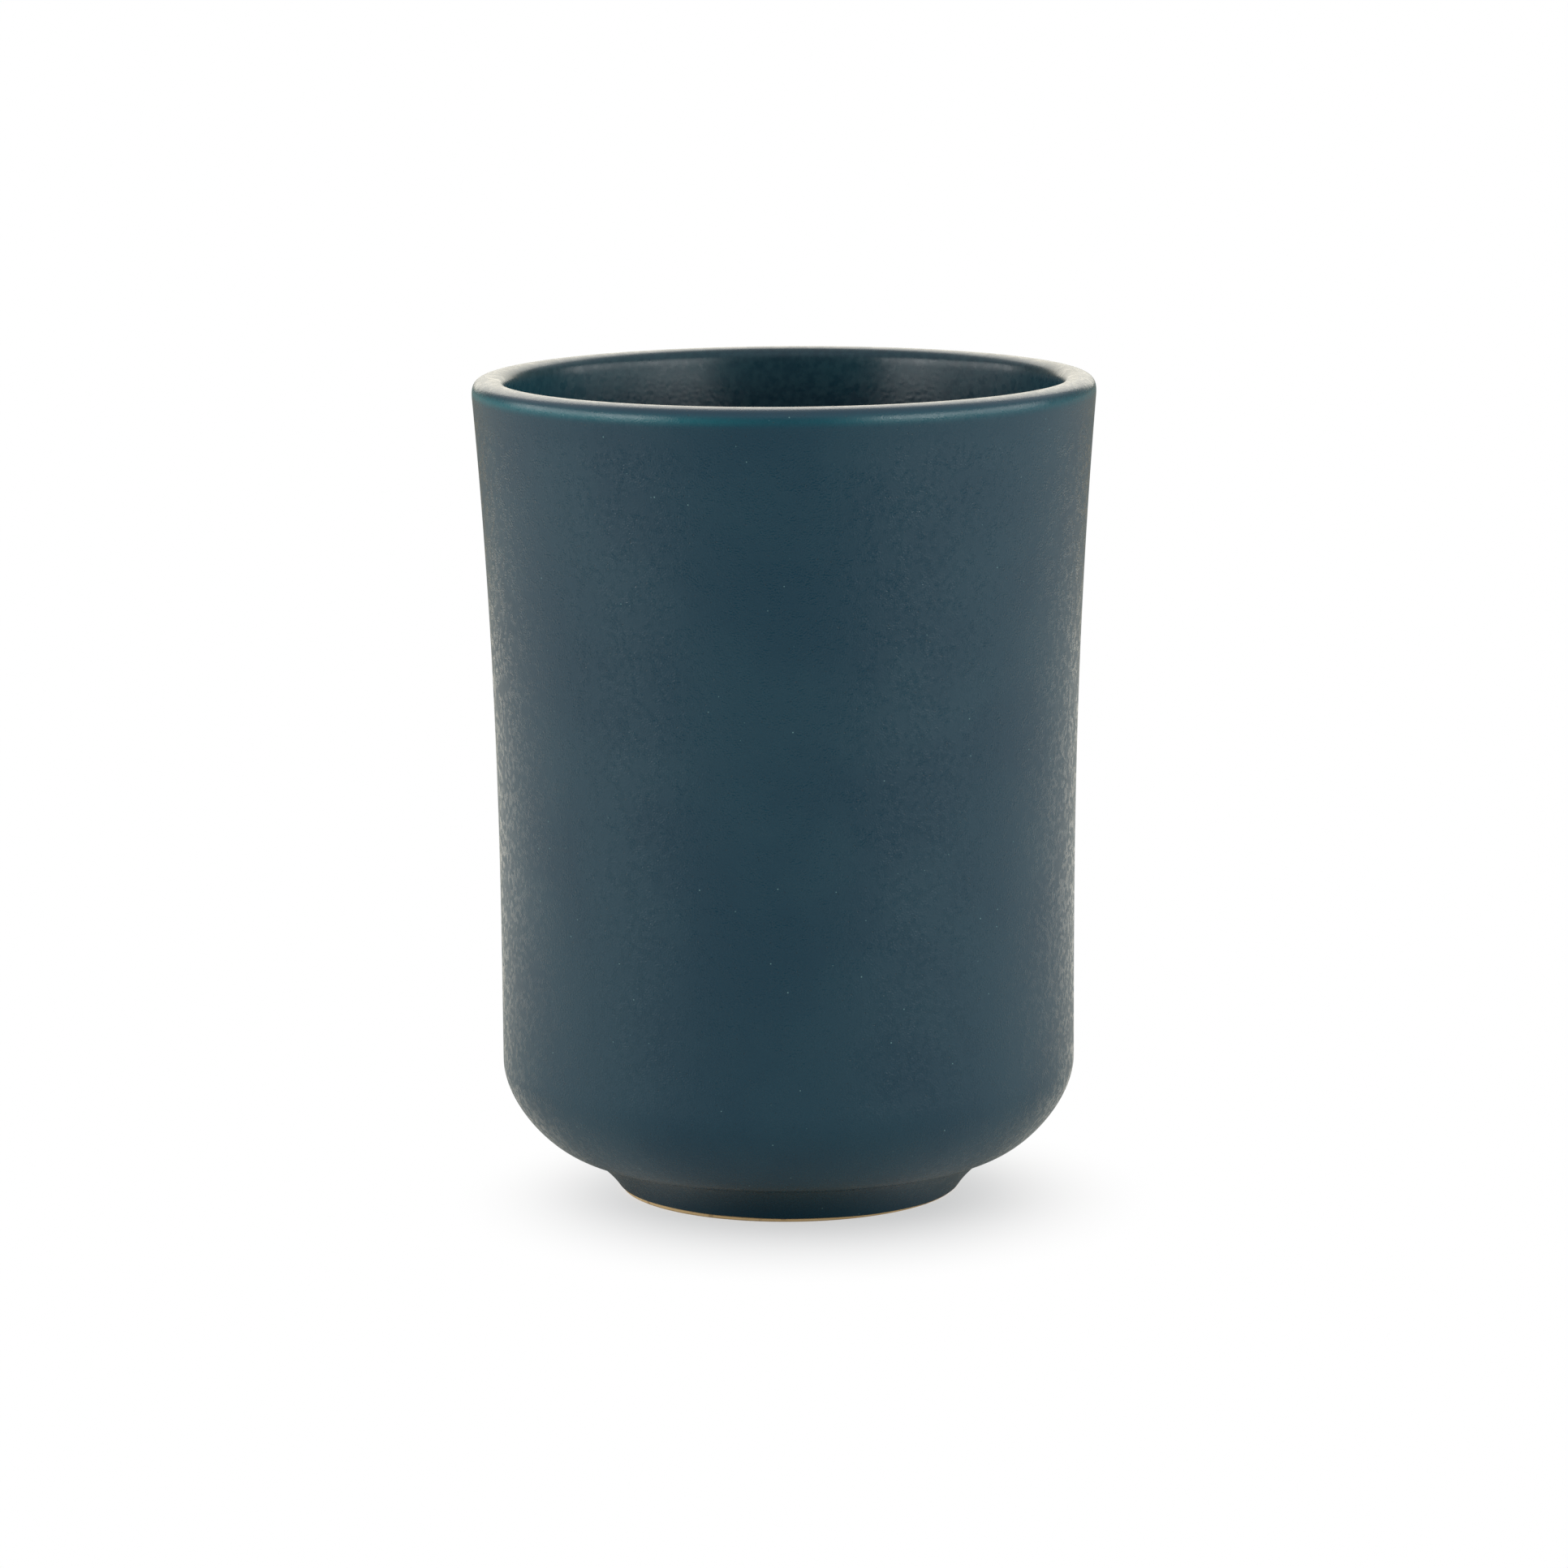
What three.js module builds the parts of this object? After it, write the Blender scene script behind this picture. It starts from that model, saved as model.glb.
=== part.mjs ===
// A handleless stoneware tea mug. A turned clay body stands on a clay foot ring with hollow sides that is
// luted under it. One satin glaze covers the outside, the inside and the well under the foot, and leaves bare
// the ring of clay that the mug stands on. Millimetres, +Z up, the origin at the centre of that ring.
import * as THREE from "three";

// Overall sizes of the fired mug, measured over the glaze
const HEIGHT = 105; // table to the top of the lip
const RIM_RADIUS = 39.5; // outside, where the wall ends and the lip starts to round over
const BELLY_RADIUS = 36.8; // outside, where the wall stands upright
const WALL = 4.2; // through the wall, from glaze to glaze
const FLOOR = 5.4; // through the floor, from the well's glaze to the liner's
const GLAZE = 0.4; // thickness of every glaze coat

// The wall and its lip
const WALL_LEAN = 0.08; // radians that the wall leans out at the rim
const FLARE_REACH = 35; // how far down the wall the lean at the rim is felt
const UPRIGHT_REACH = 23; // how far up the wall the upright belly is felt
const LIP_RISE = 2.6; // height of the rounded lip
const LIP_SIDES = 0.62; // share of that height over which the lip's sides stay near upright
const LIP_FLAT = 0.95; // share of half the wall over which the lip's top stays near level

// The rounded underbody between the belly and the foot
const UNDERBODY_RISE = 11.7; // foot to belly
const UNDERBODY_SLOPE = 0.05; // radians above level where the underbody leaves the foot
const UNDERSIDE_REACH = 3.3; // how far out the flat underside is felt
const BELLY_REACH = 5.4; // how far down the upright belly is felt
const INNER_CORNER = 8.6; // radius between the inner wall and the floor

// The foot ring and the well inside it
const FOOT_HEIGHT = 5.35; // table to the line where the underbody meets the foot
const FOOT_TOP_RADIUS = 27.4; // at that line
const FOOT_BASE_RADIUS = 22.1; // at the glaze's lower edge
const FOOT_STEEP = 1.08; // radians above level of the foot's hollow side, at that edge
const FOOT_SHALLOW = 0.42; // radians above level of that side, where it meets the underbody
const HOLLOW_REACH = 1.8; // how far each of those two slopes is felt
const FOOT_LAND = 4; // width of the ring that the mug stands on
const BARE_BAND = 0.5; // bare clay between the table and the glaze
const WELL_DRAFT = 0.8; // how much narrower the well is at its ceiling
const FOOT_EASE = 0.3; // the sponged edges of the bare ring

// Facets
const TURNS = 48; // around the axis
const WALL_STEPS = 7;
const UNDERBODY_STEPS = 7;
const LIP_STEPS = 5; // on each side of the lip
const FOOT_STEPS = 4;
const CORNER_STEPS = 5;

// Directions in the mug's section, and the share of a radius at which a curve's handles draw a quarter circle
const OUT = 0;
const UP = Math.PI / 2;
const IN = Math.PI;
const DOWN = -Math.PI / 2;
const ROUND = 0.5523;

const at = (radius, height) => new THREE.Vector2(radius, height);
const curve = (steps, ...points) => new THREE.CubicBezierCurve(...points).getPoints(steps);

// The point a distance away from another one, in a direction of the section.
function from(start, direction, distance) {
  return at(start.x + distance * Math.cos(direction), start.y + distance * Math.sin(direction));
}

// The points of several lines end to end, with the point that two lines share taken once.
function chain(...lines) {
  return lines.flatMap((line, i) => (i ? line.slice(1) : line));
}

// The line that lies a distance to the left of a line of points, with its corners mitred.
function leftOf(points, distance) {
  const normals = points.slice(1).map((point, i) => {
    const step = point.clone().sub(points[i]).normalize();
    return at(-step.y, step.x);
  });
  return points.map((point, i) => {
    const before = normals[Math.max(i - 1, 0)];
    const after = normals[Math.min(i, normals.length - 1)];
    const mitre = before.clone().add(after);
    return point.clone().addScaledVector(mitre, (2 * distance) / mitre.lengthSq());
  });
}

// A section turned about the mug's axis. It is listed upwards along its outer side, and either runs
// from the axis to the axis or closes on itself.
function turned(name, section, material) {
  const outline = section[0].x > 0 ? [...section, section[0]] : section;
  const mesh = new THREE.Mesh(new THREE.LatheGeometry(outline, TURNS).rotateX(UP), material);
  mesh.name = name;
  return mesh;
}

// The glazed surface in section: up the hollow foot, round the underbody, up the flaring wall and
// over the lip, then down the inner wall, round the corner and along the floor to the axis.
const glazeEdge = at(FOOT_BASE_RADIUS, BARE_BAND);
const footLine = at(FOOT_TOP_RADIUS, FOOT_HEIGHT);
const belly = at(BELLY_RADIUS, FOOT_HEIGHT + UNDERBODY_RISE);
const rim = at(RIM_RADIUS, HEIGHT - LIP_RISE);
const apex = at(RIM_RADIUS - WALL / 2, HEIGHT);
const innerRim = at(RIM_RADIUS - WALL, HEIGHT - LIP_RISE);
const floorHeight = FOOT_HEIGHT + FLOOR;
const cornerTop = at(BELLY_RADIUS - WALL, floorHeight + INNER_CORNER);
const floorEdge = at(BELLY_RADIUS - WALL - INNER_CORNER, floorHeight);

const foot = curve(
  FOOT_STEPS,
  glazeEdge,
  from(glazeEdge, FOOT_STEEP, HOLLOW_REACH),
  from(footLine, FOOT_SHALLOW, -HOLLOW_REACH),
  footLine,
);
const underbody = curve(
  UNDERBODY_STEPS,
  footLine,
  from(footLine, OUT + UNDERBODY_SLOPE, UNDERSIDE_REACH),
  from(belly, DOWN, BELLY_REACH),
  belly,
);
const wall = curve(
  WALL_STEPS,
  belly,
  from(belly, UP, UPRIGHT_REACH),
  from(rim, DOWN - WALL_LEAN, FLARE_REACH),
  rim,
);
const outerLip = curve(
  LIP_STEPS,
  rim,
  from(rim, UP - WALL_LEAN, LIP_SIDES * LIP_RISE),
  from(apex, OUT, (LIP_FLAT * WALL) / 2),
  apex,
);
const innerLip = curve(
  LIP_STEPS,
  apex,
  from(apex, IN, (LIP_FLAT * WALL) / 2),
  from(innerRim, UP - WALL_LEAN, LIP_SIDES * LIP_RISE),
  innerRim,
);
const innerWall = curve(
  WALL_STEPS,
  innerRim,
  from(innerRim, DOWN - WALL_LEAN, FLARE_REACH),
  from(cornerTop, UP, UPRIGHT_REACH),
  cornerTop,
);
const innerCorner = curve(
  CORNER_STEPS,
  cornerTop,
  from(cornerTop, DOWN, ROUND * INNER_CORNER),
  from(floorEdge, OUT, ROUND * INNER_CORNER),
  floorEdge,
);
const floor = [floorEdge, at(0, floorHeight)];

const outside = chain(foot, underbody, wall, outerLip);
const inside = chain(innerLip, innerWall, innerCorner, floor);

// The clay under that glaze. The coats and the clay share these points, so they meet face to face.
const clay = leftOf(chain(outside, inside), GLAZE);
const clayOutside = clay.slice(0, outside.length);
const clayInside = clay.slice(outside.length - 1);
const footEdge = clay[0]; // where the glaze ends on the foot
const seatEdge = clay[FOOT_STEPS]; // the rim of the flat seat between the body and its foot ring

// The well inside the foot ring: up its drafted side, then along its ceiling to the axis.
const wellEdge = at(footEdge.x - FOOT_LAND, BARE_BAND);
const wellTop = at(wellEdge.x - WELL_DRAFT, seatEdge.y);
const wellClay = [wellEdge, wellTop, at(0, seatEdge.y)];
const wellGlazed = leftOf(wellClay, GLAZE);

const stoneware = new THREE.MeshStandardMaterial({ color: 0xc7ab7c, roughness: 0.9 });
const outerBlue = new THREE.MeshStandardMaterial({ color: 0x2c4656, roughness: 0.5 });
const innerBlue = new THREE.MeshStandardMaterial({ color: 0x24363f, roughness: 0.45 });

const stonewareBody = turned(
  "stoneware_body",
  [at(0, seatEdge.y), ...chain(clayOutside.slice(FOOT_STEPS), clayInside)],
  stoneware,
);

const footRing = turned(
  "foot_ring",
  [
    at(footEdge.x - FOOT_EASE, 0),
    at(footEdge.x, FOOT_EASE),
    ...clay.slice(0, FOOT_STEPS + 1),
    wellTop,
    wellEdge,
    at(wellEdge.x, FOOT_EASE),
    at(wellEdge.x + FOOT_EASE, 0),
  ],
  stoneware,
);

const outerGlaze = turned("outer_glaze", [...outside, ...clayOutside.toReversed()], outerBlue);
const linerGlaze = turned("liner_glaze", [...clayInside.toReversed(), ...inside], innerBlue);
const wellGlaze = turned("well_glaze", [...wellGlazed.toReversed(), ...wellClay], outerBlue);

const mug = new THREE.Group();
mug.add(stonewareBody, footRing, outerGlaze, linerGlaze, wellGlaze);

export default mug;
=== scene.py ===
# A handleless stoneware tea mug: clay body, clay foot ring and three glaze coats. Metres, +Z up, and the
# origin at the centre of the ring that the mug stands on.
import math

import bpy
import numpy as np
from mathutils import Matrix, Vector


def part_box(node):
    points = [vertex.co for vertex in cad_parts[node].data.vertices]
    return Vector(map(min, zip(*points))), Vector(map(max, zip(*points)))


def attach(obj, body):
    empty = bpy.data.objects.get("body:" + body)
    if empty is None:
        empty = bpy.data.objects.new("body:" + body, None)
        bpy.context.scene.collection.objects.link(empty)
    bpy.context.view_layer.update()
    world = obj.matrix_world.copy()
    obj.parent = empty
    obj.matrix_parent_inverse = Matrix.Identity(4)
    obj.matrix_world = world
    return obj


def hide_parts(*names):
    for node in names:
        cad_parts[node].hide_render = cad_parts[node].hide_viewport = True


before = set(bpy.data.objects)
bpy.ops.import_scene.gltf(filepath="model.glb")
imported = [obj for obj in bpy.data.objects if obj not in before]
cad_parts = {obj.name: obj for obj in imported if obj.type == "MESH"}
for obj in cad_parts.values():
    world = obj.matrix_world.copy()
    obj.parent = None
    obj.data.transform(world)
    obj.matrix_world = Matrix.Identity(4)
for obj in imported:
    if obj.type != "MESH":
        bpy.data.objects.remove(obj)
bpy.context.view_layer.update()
scene = bpy.context.scene
scene.view_settings.view_transform = "Standard"


# The photograph's camera: a long lens a little above the rim, aimed at the mug's middle, with a
# slight roll to one side.
PHOTO_PIXELS = 1932  # along each side of the photograph
FOCAL_PIXELS = 7230  # the lens's focal length, in those pixels
SENSOR = 36  # millimetres
CAMERA_PLACE = Vector((0, -0.742, 0.1818))
CAMERA_AIM = Vector((-0.00035, 0, 0.05238))
CAMERA_ROLL = math.radians(-0.41)

camera_data = bpy.data.cameras.new("photo_camera")
camera_data.sensor_width = SENSOR
camera_data.lens = SENSOR * FOCAL_PIXELS / PHOTO_PIXELS
camera = bpy.data.objects.new("photo_camera", camera_data)
looking = (CAMERA_AIM - CAMERA_PLACE).to_track_quat("-Z", "Y").to_matrix().to_4x4()
camera.matrix_world = Matrix.Translation(CAMERA_PLACE) @ looking @ Matrix.Rotation(CAMERA_ROLL, 4, "Z")
scene.collection.objects.link(camera)
scene.camera = camera


# The body: a fired stoneware wall and floor in one piece, turned on a wheel and trimmed to a smooth
# profile. The glaze hides all of it. Its underside is flat, and the foot ring is luted to it.
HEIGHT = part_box("outer_glaze")[1].z  # table to the top of the lip
RIM_RADIUS = 0.0395  # over the glaze, where the lip starts to round over
BELLY_RADIUS = 0.0368  # over the glaze, where the wall stands upright
WALL = 0.0042  # from glaze to glaze
GLAZE = 0.0004  # thickness of every coat
WALL_LEAN = 0.08  # radians that the wall leans out at the rim
FLARE_REACH = 0.035  # how far down the wall that lean is felt
UPRIGHT_REACH = 0.023  # how far up the wall the upright belly is felt
LIP_RISE = 0.0026  # height of the rounded lip
LIP_SIDES = 0.62  # share of that height over which the lip's sides stay near upright
LIP_FLAT = 0.95  # share of half the wall over which the lip's top stays near level
FOOT_HEIGHT = 0.00535  # table to the crease where the underbody meets the foot
FOOT_TOP_RADIUS = 0.0274  # at that crease
UNDERBODY_RISE = 0.0117  # crease to belly
UNDERBODY_SLOPE = 0.05  # radians above level where the underbody leaves the foot
UNDERSIDE_REACH = 0.0033  # how far out the flat underside is felt
BELLY_REACH = 0.0054  # how far down the upright belly is felt
INNER_CORNER = 0.0086  # radius between the inner wall and the floor
FLOOR_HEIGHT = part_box("liner_glaze")[0].z + GLAZE  # top of the floor, over the glaze
SEAT_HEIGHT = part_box("foot_ring")[1].z  # the flat seat between the body and the ring
ROUND = 0.5523  # the share of a radius at which a curve's handles draw a quarter circle
TURNS = 256  # points around the axis
CLAY_THINNING = 4  # the clay under a coat has one point for so many of the coat's
OVALITY = 0.0016  # share of the radius by which the mug is out of round
OVAL_PHASE = 0.6  # radians, which set where round the axis it is widest


def bezier(start, leaving, arriving, end, steps):
    """Points of a cubic Bezier curve: for t from 0 to 1, the sum of the four control points, each times
    its Bernstein polynomial of t."""
    t = np.linspace(0, 1, steps + 1)[:, None]
    pull = 3 * t * (1 - t) ** 2 * leaving + 3 * t**2 * (1 - t) * arriving
    return (1 - t) ** 3 * start + pull + t**3 * end


def heading(angle, distance):
    """The step in the section that goes a distance at an angle above straight out from the axis."""
    return distance * np.array([math.cos(angle), math.sin(angle)])


def chain(*lines):
    """Lines of points end to end, with the point that two lines share taken once."""
    return np.vstack([lines[0], *(line[1:] for line in lines[1:])])


def left_of(line, distance):
    """The line a distance to the left of a line of points: each point moves along the mitre of the two
    normals beside it, by the distance over the cosine of half the turn."""
    step = np.diff(line, axis=0)
    step /= np.linalg.norm(step, axis=1, keepdims=True)
    normal = np.column_stack([-step[:, 1], step[:, 0]])
    mitre = np.vstack([normal[:1], normal]) + np.vstack([normal, normal[-1:]])
    return line + 2 * distance * mitre / (mitre**2).sum(axis=1, keepdims=True)


def clay_under(face):
    """The clay's line under a glazed face: a coat's thickness to its left, with fewer points."""
    line = left_of(face, GLAZE)
    return np.vstack([line[:-1:CLAY_THINNING], line[-1:]])


def skin(name, grid, from_axis):
    """A mesh over a grid of rings by angles, with a quad between each two neighbours on two rings. The last
    ring joins the first, or else both lie on the axis, as one point each with a fan of triangles."""
    rings = grid[1:-1] if from_axis else grid
    index = np.arange(rings.shape[0] * TURNS).reshape(-1, TURNS)
    below = index[:-1] if from_axis else index
    above = index[1:] if from_axis else np.roll(index, -1, axis=0)
    quads = np.stack([below, np.roll(below, -1, axis=1), np.roll(above, -1, axis=1), above], axis=-1)
    vertices = rings.reshape(-1, 3)
    faces = quads.reshape(-1, 4).tolist()
    if from_axis:
        first, last = index[0], index[-1]
        pole = np.full(TURNS, index.size)
        faces += np.column_stack([pole, np.roll(first, -1), first]).tolist()
        faces += np.column_stack([last, np.roll(last, -1), pole + 1]).tolist()
        vertices = np.vstack([vertices, grid[0, :1], grid[-1, :1]])
    mesh = bpy.data.meshes.new(name)
    mesh.from_pydata(vertices, [], faces)
    mesh.shade_smooth()
    return mesh


def sharpen(mesh, corners, from_axis):
    """Marks the edges that run round the axis at some points of the section. A vertex's number over the
    points around the axis gives its ring, which is counted from 1 where the section starts on the axis."""
    edge_ends = np.empty(2 * len(mesh.edges), dtype=np.int32)
    mesh.edges.foreach_get("vertices", edge_ends)
    ring = edge_ends.reshape(-1, 2) // TURNS + int(from_axis)
    sharp = (ring[:, 0] == ring[:, 1]) & np.isin(ring[:, 0], corners)
    mesh.attributes.new("sharp_edge", "BOOLEAN", "EDGE").data.foreach_set("value", sharp)


def turned(name, section, corners=(), sway=None, wave=None):
    """A piece turned about the axis: a section point (r, z) at the angle a goes to (r cos a, r sin a, z).
    The radius is swelled by a share cos 2a, because no turned pot is quite round. A sway adds a step of its
    own to each section point, times a wave of the angle. Corners are the section points that stay sharp.
    The section is listed upwards along its outer side, and closes on itself or runs from axis to axis."""
    angle = np.linspace(0, 2 * math.pi, TURNS, endpoint=False)
    points = np.repeat(section[:, None, :], TURNS, axis=1)
    if sway is not None:
        points = points + sway[:, None, :] * wave(angle)[None, :, None]
    swelled = points[..., 0] * (1 + OVALITY * np.cos(2 * angle + OVAL_PHASE))
    grid = np.stack([swelled * np.cos(angle), swelled * np.sin(angle), points[..., 1]], axis=-1)
    from_axis = np.isclose(section[0, 0], 0)
    mesh = skin(name, grid, from_axis)
    sharpen(mesh, corners, from_axis)
    piece = bpy.data.objects.new(name, mesh)
    scene.collection.objects.link(piece)
    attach(piece, "root")
    return piece


# The glazed surface in section, from which the clay and the coats are measured
OUT, UP, IN, DOWN = 0, math.pi / 2, math.pi, -math.pi / 2  # headings in it
crease = np.array([FOOT_TOP_RADIUS, FOOT_HEIGHT])
belly = np.array([BELLY_RADIUS, FOOT_HEIGHT + UNDERBODY_RISE])
rim = np.array([RIM_RADIUS, HEIGHT - LIP_RISE])
apex = np.array([RIM_RADIUS - WALL / 2, HEIGHT])
inner_rim = np.array([RIM_RADIUS - WALL, HEIGHT - LIP_RISE])
corner_top = np.array([BELLY_RADIUS - WALL, FLOOR_HEIGHT + INNER_CORNER])
floor_edge = np.array([BELLY_RADIUS - WALL - INNER_CORNER, FLOOR_HEIGHT])

underbody = bezier(
    crease,
    crease + heading(OUT + UNDERBODY_SLOPE, UNDERSIDE_REACH),
    belly + heading(DOWN, BELLY_REACH),
    belly,
    steps=48,
)
wall = bezier(
    belly,
    belly + heading(UP, UPRIGHT_REACH),
    rim + heading(DOWN - WALL_LEAN, FLARE_REACH),
    rim,
    steps=90,
)
outer_lip = bezier(
    rim,
    rim + heading(UP - WALL_LEAN, LIP_SIDES * LIP_RISE),
    apex + heading(OUT, LIP_FLAT * WALL / 2),
    apex,
    steps=60,
)
inner_lip = bezier(
    apex,
    apex + heading(IN, LIP_FLAT * WALL / 2),
    inner_rim + heading(UP - WALL_LEAN, LIP_SIDES * LIP_RISE),
    inner_rim,
    steps=60,
)
inner_wall = bezier(
    inner_rim,
    inner_rim + heading(DOWN - WALL_LEAN, FLARE_REACH),
    corner_top + heading(UP, UPRIGHT_REACH),
    corner_top,
    steps=80,
)
inner_corner = bezier(
    corner_top,
    corner_top + heading(DOWN, ROUND * INNER_CORNER),
    floor_edge + heading(OUT, ROUND * INNER_CORNER),
    floor_edge,
    steps=30,
)
floor_line = np.linspace(floor_edge, [0, FLOOR_HEIGHT], num=13)
inside = chain(inner_lip, inner_wall, inner_corner, floor_line)

body_clay = clay_under(chain(underbody, wall, outer_lip, inside))
body = turned("stoneware_body_clay", np.vstack([[0, SEAT_HEIGHT], body_clay]), corners=[1])
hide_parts("stoneware_body")


class Wire:
    """One socket in a material. Its operators add Math nodes, and its add method adds any other node."""

    def __init__(self, tree, socket=None):
        self.tree = tree
        self.socket = socket

    def add(self, kind, settings=None, inputs=None, output=0):
        """A new node of a kind, with its settings set first and then a value or a wire for each input."""
        node = self.tree.nodes.new(kind)
        for name, value in (settings or {}).items():
            setattr(node, name, value)
        for name, value in (inputs or {}).items():
            if isinstance(value, Wire):
                self.tree.links.new(value.socket, node.inputs[name])
            else:
                node.inputs[name].default_value = value
        return Wire(self.tree, node.outputs[output] if node.outputs else None)

    def math(self, operation, first, second=0.0, clamp=False):
        """A Math node on two values or wires, held between 0 and 1 where it is clamped."""
        settings = {"operation": operation, "use_clamp": clamp}
        return self.add("ShaderNodeMath", settings, {0: first, 1: second})

    def __add__(self, other):
        return self.math("ADD", self, other)

    __radd__ = __add__

    def __sub__(self, other):
        return self.math("SUBTRACT", self, other)

    def __rsub__(self, other):
        return self.math("SUBTRACT", other, self)

    def __mul__(self, other):
        return self.math("MULTIPLY", self, other)

    __rmul__ = __mul__

    def ramp(self, low, high):
        """0 where this is under low, 1 where it is over high, and smooth between them."""
        settings = {"interpolation_type": "SMOOTHSTEP"}
        return self.add("ShaderNodeMapRange", settings, {"Value": self, "From Min": low, "From Max": high})

    def noise(self, size, detail=2.0):
        """Noise over this position, from 0 to 1, with lumps of about a size in metres."""
        return self.add("ShaderNodeTexNoise", inputs={"Vector": self, "Scale": 1 / size, "Detail": detail})

    def tint(self, share, first, second):
        """A first colour where the share is 0, a second where it is 1, and a blend between."""
        settings = {"data_type": "RGBA"}
        return self.add("ShaderNodeMix", settings, {0: share, 6: first, 7: second}, output=2)


def new_material(name):
    """An empty material and a wire at its Object coordinates."""
    material = bpy.data.materials.new(name)
    material.use_nodes = True
    material.node_tree.nodes.clear()
    place = Wire(material.node_tree).add("ShaderNodeTexCoord", output="Object")
    return material, place


CLAY_PALE = (0.66, 0.48, 0.25, 1)
CLAY_WARM = (0.50, 0.34, 0.16, 1)
CLAY_SPECK = (0.22, 0.14, 0.07, 1)
CLAY_CLOUD_SIZE = 0.004  # of the clouds in which the two clay colours mingle
CLAY_GRAIN_SIZE = 0.0005  # of the sand that roughens the clay
CLAY_GRAIN_DEPTH = 0.00004
CLAY_SPECK_SIZE = 0.0009
CLAY_SPECK_NOISE = (0.70, 0.76)  # noise between which a speck sets in
CLAY_SPECK_SHARE = 0.5  # how far a speck covers the clay's colour
CLAY_ROUGHNESS = 0.88

clay_material, place = new_material("bare_buff_stoneware")
clay_cloud = place.noise(CLAY_CLOUD_SIZE, detail=3)
clay_grain = place.noise(CLAY_GRAIN_SIZE)
clay_speck = place.noise(CLAY_SPECK_SIZE, detail=0).ramp(*CLAY_SPECK_NOISE)
clay_colour = place.tint(clay_cloud, CLAY_PALE, CLAY_WARM)
clay_colour = place.tint(clay_speck * CLAY_SPECK_SHARE, clay_colour, CLAY_SPECK)
clay_bump = place.add("ShaderNodeBump", inputs={"Distance": CLAY_GRAIN_DEPTH, "Height": clay_grain})
clay_shader = place.add(
    "ShaderNodeBsdfPrincipled",
    inputs={"Base Color": clay_colour, "Roughness": CLAY_ROUGHNESS, "Normal": clay_bump},
)
place.add("ShaderNodeOutputMaterial", inputs={"Surface": clay_shader})
body.data.materials.append(clay_material)


# The foot: a ring of the same clay, hollowed outside and drafted inside, luted to the flat underside.
# Its lower edges are sponged soft, and the ring that meets the table is wiped clean of glaze.
FOOT_BASE_RADIUS = 0.0221  # over the glaze, at the glaze's lower edge
FOOT_STEEP = 1.08  # radians above level of the hollow side, at that edge
FOOT_SHALLOW = 0.42  # radians above level of that side, where it meets the underbody
HOLLOW_REACH = 0.0018  # how far each of those two slopes is felt
BARE_BAND = 0.0005  # bare clay between the table and the glaze
FOOT_LAND = 0.004  # width of the ring that the mug stands on
FOOT_EASE = 0.0003  # the sponged edges
WELL_DRAFT = 0.0008  # how much narrower the well is at its ceiling


def unit(step):
    """A step of length 1 in the direction of a step: the step over its length."""
    return step / np.linalg.norm(step)


def eased(corner, before, after, ease, steps=8):
    """A rounded corner: a Bezier curve from a little before the corner to a little after it."""
    to_before = unit(before - corner)
    to_after = unit(after - corner)
    hold = (1 - ROUND) * ease
    return bezier(
        corner + ease * to_before,
        corner + hold * to_before,
        corner + hold * to_after,
        corner + ease * to_after,
        steps,
    )


glaze_edge = np.array([FOOT_BASE_RADIUS, BARE_BAND])
hollow = bezier(
    glaze_edge,
    glaze_edge + heading(FOOT_STEEP, HOLLOW_REACH),
    crease - heading(FOOT_SHALLOW, HOLLOW_REACH),
    crease,
    steps=40,
)
clay_hollow = left_of(hollow, GLAZE)
land_radius = clay_hollow[0, 0]
land_outer = np.array([land_radius, 0])
land_inner = np.array([land_radius - FOOT_LAND, 0])
seat_edge = np.array([clay_hollow[-1, 0], SEAT_HEIGHT])
well_edge = np.array([land_inner[0], BARE_BAND])
well_top = np.array([land_inner[0] - WELL_DRAFT, SEAT_HEIGHT])

outer_ease = eased(land_outer, land_inner, clay_hollow[0], FOOT_EASE)
inner_ease = eased(land_inner, well_edge, land_outer, FOOT_EASE)
outer_side = np.vstack([outer_ease, clay_hollow[:-1]])
well_side = np.linspace(well_top, well_edge, num=8)
seat_corner = len(outer_side)
foot_section = np.vstack([outer_side, seat_edge, well_side, inner_ease])
foot = turned("foot_ring_clay", foot_section, corners=[seat_corner, seat_corner + 1])
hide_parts("foot_ring")
foot.data.materials.append(clay_material)


# The outer glaze: a satin coat over the clay from the top of the lip to just above the table, where it
# ends in a rounded edge that wanders a little. Over the lip's shoulder it runs thinner and turns teal, in a
# band whose strength round the mug also paints in the side lamps' light.
CREASE_FILLET = 0.0008  # glaze gathered in the crease above the foot
BEAD_ROUND = 0.6  # share of a coat's thickness over which its rounded lower edge leaves the clay
BEAD_CLEAR = 1.2 * GLAZE  # how far above that edge the plain coat starts
EDGE_WANDER = 0.00045  # how far that edge wanders along the hollow
WANDER_STEP = 0.4  # share of the wander in a step that sets one half of the edge lower
WANDER_STEP_START = math.radians(285)  # angle at which that half starts
WANDER_STEP_STEEPNESS = 3
WANDER_WAVES = ((0.06, 5, 1.0), (0.04, 13, 0.4))  # share, number round the foot and phase of the waves


def edge_wander(angle):
    """How far up the foot the glaze stops at an angle, from -1 to 0: a step, as the tanh of a sine, that
    sets it lower on one half of the foot, and a few short waves."""
    step = np.tanh(WANDER_STEP_STEEPNESS * np.sin(angle - WANDER_STEP_START))
    waves = sum(share * np.sin(count * angle + phase) for share, count, phase in WANDER_WAVES)
    return -0.5 - WANDER_STEP * step + waves


def clear_of(line, point, distance):
    """The points of a line that lie further than a distance from a point."""
    return line[np.linalg.norm(line - point, axis=1) > distance]


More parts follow.
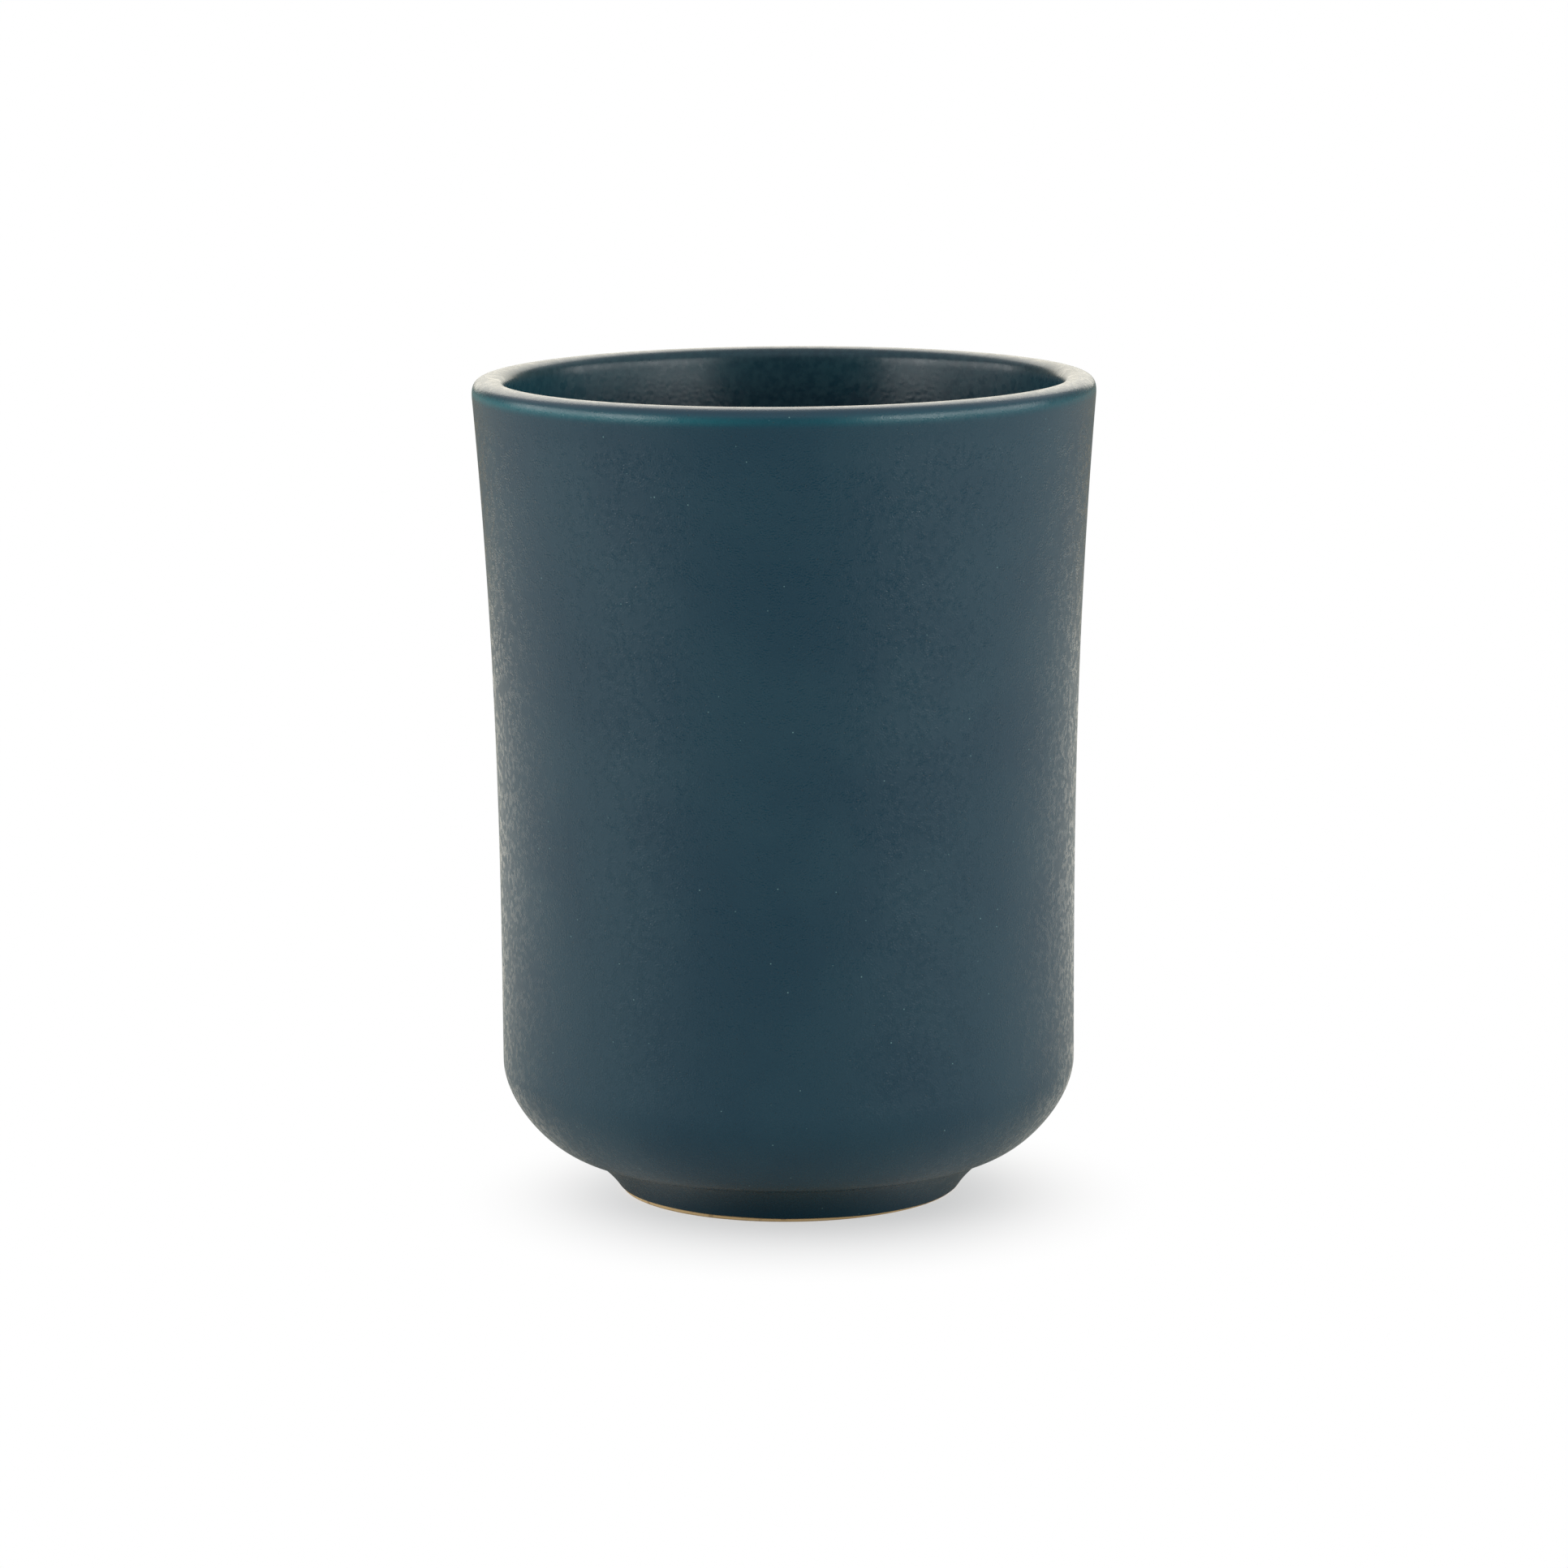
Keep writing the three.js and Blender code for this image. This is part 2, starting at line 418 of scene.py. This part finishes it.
def coat_bead(clay_edge, face_edge, along):
    """The rounded edge of a coat: a Bezier curve that leaves the clay squarely, turns at the edge of the
    coat's face and ends a coat's thickness along it."""
    return bezier(
        clay_edge,
        clay_edge + BEAD_ROUND * (face_edge - clay_edge),
        face_edge,
        face_edge + GLAZE * along,
        steps=12,
    )


up_foot = heading(FOOT_STEEP, 1)
bead = coat_bead(clay_hollow[0], glaze_edge, up_foot)
foot_side = clear_of(clear_of(hollow, glaze_edge, BEAD_CLEAR), crease, CREASE_FILLET)
underside = clear_of(underbody, crease, CREASE_FILLET)
crease_fillet = bezier(foot_side[-1], crease, crease, underside[0], steps=12)
outside = chain(np.vstack([bead, foot_side]), crease_fillet, underside, wall, outer_lip)
outer_section = np.vstack([outside, clay_under(outside[len(bead) :])[::-1]])
apex_corner = len(outside) - 1

share_down = np.clip((FOOT_HEIGHT - outer_section[:, 1]) / (FOOT_HEIGHT - BARE_BAND), 0, 1)
outer = turned(
    "outer_glaze_coat",
    outer_section,
    corners=[apex_corner, apex_corner + 1],
    sway=EDGE_WANDER * share_down[:, None] ** 2 * up_foot,
    wave=edge_wander,
)
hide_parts("outer_glaze")

LIP_BREAK_WIDTH = 0.0006  # of the teal band along the lip's shoulder
LIP_BREAK_STRENGTH = 0.6
BREAK_LEAN = 0.4  # how much stronger the band is on the mug's left, and weaker on its right: painted light from the brighter left lamps
BREAK_LULL = 0.55  # how much weaker it is at the front and the back, painted where less of the side lamps' light falls
BREAK_LULL_WIDTH = 0.2  # share of the radius to either side over which that is felt


def mark_lip(piece, middle, width, strength):
    """Writes a teal band as an attribute: a strength times the bell curve of each point's distance in the
    section from the band's middle. It is stronger on the mug's left and weak at its front and back: painted
    light from the side lamps, over the glaze's own teal break."""
    points = np.empty(3 * len(piece.data.vertices), dtype=np.float32)
    piece.data.vertices.foreach_get("co", points)
    x, y, z = points.reshape(-1, 3).T
    radius = np.hypot(x, y)
    away = np.hypot(radius - middle[0], z - middle[1])
    side = x / np.maximum(radius, GLAZE)
    thin_and_lit = 1 - BREAK_LEAN * side - BREAK_LULL * np.exp(-((side / BREAK_LULL_WIDTH) ** 2))
    band = strength * thin_and_lit * np.exp(-((away / width) ** 2))
    piece.data.attributes.new("lip_break_and_light", "FLOAT", "POINT").data.foreach_set("value", band)


shoulder = outer_lip[len(outer_lip) // 4]
mark_lip(outer, shoulder, LIP_BREAK_WIDTH, LIP_BREAK_STRENGTH)

GLAZE_BLUE = (0.003, 0.030, 0.053, 1)
GLAZE_SLATE = (0.006, 0.036, 0.059, 1)
GLAZE_TEAL = (0.006, 0.105, 0.132, 1)
GLAZE_SPECK = (0.160, 0.300, 0.310, 1)
# the painted shade in a pinhole
PIT_PAINTED_SHADE = (0.002, 0.010, 0.016, 1)
BLOTCH_NOISE = (0.35, 0.65)  # noise between which one colour gives way to the other
SPECK_SPACING = 0.0023
SPECK_RADIUS = 0.00008
PIT_SPACING = 0.0011
PIT_RADIUS = 0.00009
PIT_SHADE_COVER = 0.7  # how far a pit's painted shade covers the glaze's colour
PIT_DEPTH = 0.6  # share of the relief
DOT_EDGE = (0.6, 1.3)  # shares of its radius between which a speck or a pit fades
PATCH_SIZE = 0.0022  # of the patches in which flecks and grain gather
PATCH_NOISE = (0.30, 0.60)  # noise between which a patch sets in
FLECK_NOISE = (0.45, 0.59)  # noise between which a fleck sets in
WALL_STARTS = (0.005, 0.015)  # heights between which the foot gives way to the wall's broken gloss
WALL_ENDS = (HEIGHT - 0.007, HEIGHT - 0.003)  # heights between which that gives way to the lip
QUIET_GRAIN = 0.4  # share of the grain that is left outside the patches, and off the wall
GLAZE_ROUGHNESS = 0.30  # between the flecks, off the wall
FLECK_GLOSS = 0.24  # share of that roughness which a fleck takes off anywhere
WALL_FLECK_GLOSS = 0.72  # share that it takes off besides, on the wall
WALL_DULLNESS = 0.20  # share that the wall adds
GLAZE_IOR = 1.36


def dots(place, spacing, radius):
    """1 inside round dots of about a radius, scattered about a spacing apart, and 0 outside them."""
    inputs = {"Vector": place, "Scale": 1 / spacing}
    cell = place.add("ShaderNodeTexVoronoi", inputs=inputs, output="Distance")
    solid, clear = DOT_EDGE
    return 1 - cell.ramp(solid * radius / spacing, clear * radius / spacing)


def satin_glaze(
    name, deep, pale, blotch_size, speck_share, fleck_size, wall_flecks, grain_size, relief, ior
):
    """A glaze in two colours that mingle in blotches, teal where it breaks over the lip and where the lip
    band paints in lamp light, with pale specks and pits darkened by painted shade. On the wall its gloss is
    broken into flecks, and its fine relief is noise in patches."""
    material, place = new_material(name)
    height = place.add("ShaderNodeSeparateXYZ", inputs={0: place}, output="Z")
    on_wall = height.ramp(*WALL_STARTS) * (1 - height.ramp(*WALL_ENDS))
    patches = place.noise(PATCH_SIZE).ramp(*PATCH_NOISE)
    flecks = place.noise(fleck_size, detail=1).ramp(*FLECK_NOISE) * patches
    specks = dots(place, SPECK_SPACING, SPECK_RADIUS) * speck_share
    pits = dots(place, PIT_SPACING, PIT_RADIUS) * speck_share
    lip_break_and_light = place.add("ShaderNodeAttribute", {"attribute_name": "lip_break_and_light"}, output="Fac")

    colour = place.tint(place.noise(blotch_size, detail=3).ramp(*BLOTCH_NOISE), deep, pale)
    # teal of the lip's break, strengthened where the side lamps' light falls: painted light
    colour = place.tint(lip_break_and_light, colour, GLAZE_TEAL)
    colour = place.tint(specks, colour, GLAZE_SPECK)
    # the pits darkened with painted shade
    colour = place.tint(pits * PIT_SHADE_COVER, colour, PIT_PAINTED_SHADE)

    grain = place.noise(grain_size, detail=0)
    for mask in (patches, on_wall):
        grain = grain * (mask * (1 - QUIET_GRAIN) + QUIET_GRAIN)
    bump = place.add("ShaderNodeBump", inputs={"Distance": relief, "Height": grain - pits * PIT_DEPTH})

    gloss = flecks * FLECK_GLOSS + on_wall * wall_flecks * (flecks * WALL_FLECK_GLOSS - WALL_DULLNESS)
    roughness = GLAZE_ROUGHNESS * (1 - gloss)
    inputs = {"Base Color": colour, "Roughness": roughness, "IOR": ior, "Normal": bump}
    shader = place.add("ShaderNodeBsdfPrincipled", inputs=inputs)
    place.add("ShaderNodeOutputMaterial", inputs={"Surface": shader})
    return material


outer_material = satin_glaze(
    "satin_blue_glaze",
    deep=GLAZE_BLUE,
    pale=GLAZE_SLATE,
    blotch_size=0.016,
    speck_share=0.7,
    fleck_size=0.0008,
    wall_flecks=1,
    grain_size=0.0002,
    relief=0.00004,
    ior=GLAZE_IOR,
)
outer.data.materials.append(outer_material)


# The liner: a darker coat of the glaze poured inside, from the top of the lip down the wall and over the
# floor. It meets the outer coat at the top of the lip, and is finely mottled with a paler slate.
LINER_BLUE = (0.003, 0.019, 0.032, 1)
LINER_SLATE = (0.009, 0.031, 0.044, 1)
LINER_BREAK_WIDTH = 0.003  # of the paler band inside the lip: partly the glaze's own break, partly painted light where the lamps reach in over the rim
LINER_BREAK_STRENGTH = 0.16
LINER_IOR = 1.33

liner_clay = clay_under(inside)
liner_section = np.vstack([liner_clay[::-1], inside])
liner_corner = len(liner_clay) - 1
liner = turned("liner_glaze_coat", liner_section, corners=[liner_corner, liner_corner + 1])
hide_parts("liner_glaze")
mark_lip(liner, inner_rim, LINER_BREAK_WIDTH, LINER_BREAK_STRENGTH)
liner_material = satin_glaze(
    "satin_dark_liner",
    deep=LINER_BLUE,
    pale=LINER_SLATE,
    blotch_size=0.0010,
    speck_share=0.1,
    fleck_size=0.0013,
    wall_flecks=0,
    grain_size=0.0006,
    relief=0.00002,
    ior=LINER_IOR,
)
liner.data.materials.append(liner_material)


# The well's glaze: the same coat on the ceiling and the side of the well inside the foot ring, gathered
# a little in the corner and ending just above the table.
WELL_FILLET = 0.0012  # glaze gathered in the corner under the floor

well_middle = np.array([0, SEAT_HEIGHT])
face_edge, face_corner, face_middle = left_of(np.vstack([well_edge, well_top, well_middle]), GLAZE)
well_corner = eased(face_corner, face_middle, face_edge, WELL_FILLET)
well_bead = coat_bead(well_edge, face_edge, unit(face_corner - face_edge))[::-1]
well_clay = np.linspace(well_edge, well_top, num=12)
well_section = np.vstack([face_middle, well_corner, well_bead, well_clay[1:], well_middle])
well = turned("well_glaze_coat", well_section)
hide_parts("well_glaze")
well.data.materials.append(outer_material)


# The studio: a white floor that fades into white for the eye, two low soft lamps on each side, a tall
# warm panel behind and a pale ceiling. In the glaze's reflections the floor ends, and the rest of the
# room is dim.
FLOOR_SIZE = 6.0
FLOOR_WHITE = (0.88, 0.86, 0.78, 1)
WHITE = (1, 1, 1, 1)
DIM = (0.30, 0.27, 0.20, 1)  # the room in the glaze's reflections, and the painted shade on the floor under the mug
SHADOW_GREY = (0.47, 0.47, 0.47, 1)  # how much of the floor's light and shade the eye sees near the mug
SHADOW_GLOW = 0.44  # plain white that it sees there besides
SHADOW_MIDDLE = (0.002, -0.008, 0)  # where that shade is centred
SHADOW_FADE = (0.012, 0.046)  # distances from there over which the floor fades to plain white for the eye
UNDER_SHADE = (0.020, 0.037)  # distances from the axis over which the floor's painted shade under the mug gives way to white
SIDE_PALING = 0.006  # how much sooner it pales towards the side lamps
MIRROR_FADE = (0.40, 0.60)  # distances from the axis where the glaze's reflections fade to the dim room
SIDE_GLOW = 0.35  # how much brighter those reflections show the floor towards the side lamps
SIDE_GLOW_FADE = (0.055, 0.125)  # distances from the axis over which that sets in
SIDE_GLOW_LAG = 0.1  # how much further out it sets in behind the mug than beside it

bpy.ops.mesh.primitive_plane_add(size=FLOOR_SIZE)
floor = bpy.context.object
floor.name = "studio_floor"


def ray_shares(wire):
    """Two wires: 1 on rays straight from the eye, and 1 on rays by way of a mirror or a glass."""
    eye = wire.add("ShaderNodeLightPath", output="Is Camera Ray")
    glossy = Wire(wire.tree, eye.socket.node.outputs["Is Glossy Ray"])
    through = Wire(wire.tree, eye.socket.node.outputs["Is Transmission Ray"])
    return eye, wire.math("ADD", glossy, through, clamp=True)


floor_material, place = new_material("white_floor")
floor_material.cycles.emission_sampling = "NONE"
away = place.add("ShaderNodeVectorMath", {"operation": "LENGTH"}, {0: place}, output="Value")
apart = {0: place, 1: SHADOW_MIDDLE}
from_shadow = place.add("ShaderNodeVectorMath", {"operation": "DISTANCE"}, apart, output="Value")
outwards = place.add("ShaderNodeVectorMath", {"operation": "NORMALIZE"}, {0: place})
across = place.add("ShaderNodeSeparateXYZ", inputs={0: outwards}, output="X")
behind = Wire(place.tree, across.socket.node.outputs["Y"])
sideways = across * across
eye, mirror = ray_shares(place)
# painted shade: for all but the eye's rays the floor's colour darkens towards the mug's axis
paled = place.tint((away + sideways * SIDE_PALING).ramp(*UNDER_SHADE), DIM, FLOOR_WHITE)
lit = place.add("ShaderNodeBsdfDiffuse", inputs={"Color": place.tint(eye, paled, SHADOW_GREY)})
# painted light: in the glaze's reflections the floor glows brighter towards the side lamps
side_glow = (away - behind * SIDE_GLOW_LAG).ramp(*SIDE_GLOW_FADE) * sideways * SIDE_GLOW
glow = place.add("ShaderNodeEmission", inputs={"Color": eye * SHADOW_GLOW + mirror * side_glow})
near = place.add("ShaderNodeAddShader", inputs={0: lit, 1: glow})
distant = place.tint(sideways, DIM, FLOOR_WHITE)
far = place.add("ShaderNodeEmission", inputs={"Color": place.tint(mirror, WHITE, distant)})
fade = eye * from_shadow.ramp(*SHADOW_FADE) + mirror * away.ramp(*MIRROR_FADE)
surface = place.add("ShaderNodeMixShader", inputs={0: fade, 1: near, 2: far})
place.add("ShaderNodeOutputMaterial", inputs={"Surface": surface})
floor.data.materials.append(floor_material)

SURROUND_FILL = (0.40, 0.40, 0.40, 1)  # the light that the room throws on the mug and the floor
CEILING = (1.35, 1.35, 1.35, 1)  # overhead in the glaze's reflections
CEILING_EDGE = (0.2, 0.65)  # upward shares of a direction between which the dim room gives way to it

world = bpy.data.worlds.new("white_surround")
scene.world = world
world.use_nodes = True
world.cycles.sampling_method = "NONE"
world.node_tree.nodes.clear()
sky = Wire(world.node_tree)
direction = sky.add("ShaderNodeTexCoord", output="Generated")
upwards = sky.add("ShaderNodeSeparateXYZ", inputs={0: direction}, output="Z")
eye, mirror = ray_shares(sky)
reflected = sky.tint(upwards.ramp(*CEILING_EDGE), DIM, CEILING)
shown = sky.tint(eye, sky.tint(mirror, SURROUND_FILL, reflected), WHITE)
surround = sky.add("ShaderNodeBackground", inputs={"Color": shown})
sky.add("ShaderNodeOutputWorld", inputs={"Surface": surround})


def soft_lamp(name, bearing, climb, distance, width, height, radiance, colour):
    """A rectangular lamp that faces the mug, on a bearing from the camera's side round to the right and
    climbing from the table, both in degrees. Its power is pi times its area times its radiance."""
    data = bpy.data.lights.new(name, "AREA")
    data.shape = "RECTANGLE"
    data.size = width
    data.size_y = height
    data.energy = math.pi * width * height * radiance
    data.color = colour
    lamp = bpy.data.objects.new(name, data)
    level = distance * math.cos(math.radians(climb))
    right = level * math.sin(math.radians(bearing))
    back = -level * math.cos(math.radians(bearing))
    reach = Vector((right, back, distance * math.sin(math.radians(climb))))
    facing = (-reach).to_track_quat("-Z", "Y").to_matrix().to_4x4()
    lamp.matrix_world = Matrix.Translation(reach + Vector((0, 0, HEIGHT / 2))) @ facing
    lamp.visible_camera = False
    scene.collection.objects.link(lamp)


# What the four low lamps share
LOW_LAMP = {"climb": 14, "distance": 0.8, "height": 0.26, "colour": (1, 1, 1)}
soft_lamp("left_lamp", bearing=-57, width=0.33, radiance=7.5, **LOW_LAMP)
soft_lamp("left_side_lamp", bearing=-91, width=0.68, radiance=4.0, **LOW_LAMP)
soft_lamp("right_lamp", bearing=46, width=0.40, radiance=6.5, **LOW_LAMP)
soft_lamp("right_side_lamp", bearing=82, width=0.66, radiance=4.2, **LOW_LAMP)
soft_lamp(
    "back_panel",
    bearing=180,
    climb=28,
    distance=1.2,
    width=1.25,
    height=1.1,
    radiance=2.0,
    colour=(1, 0.95, 0.84),
)
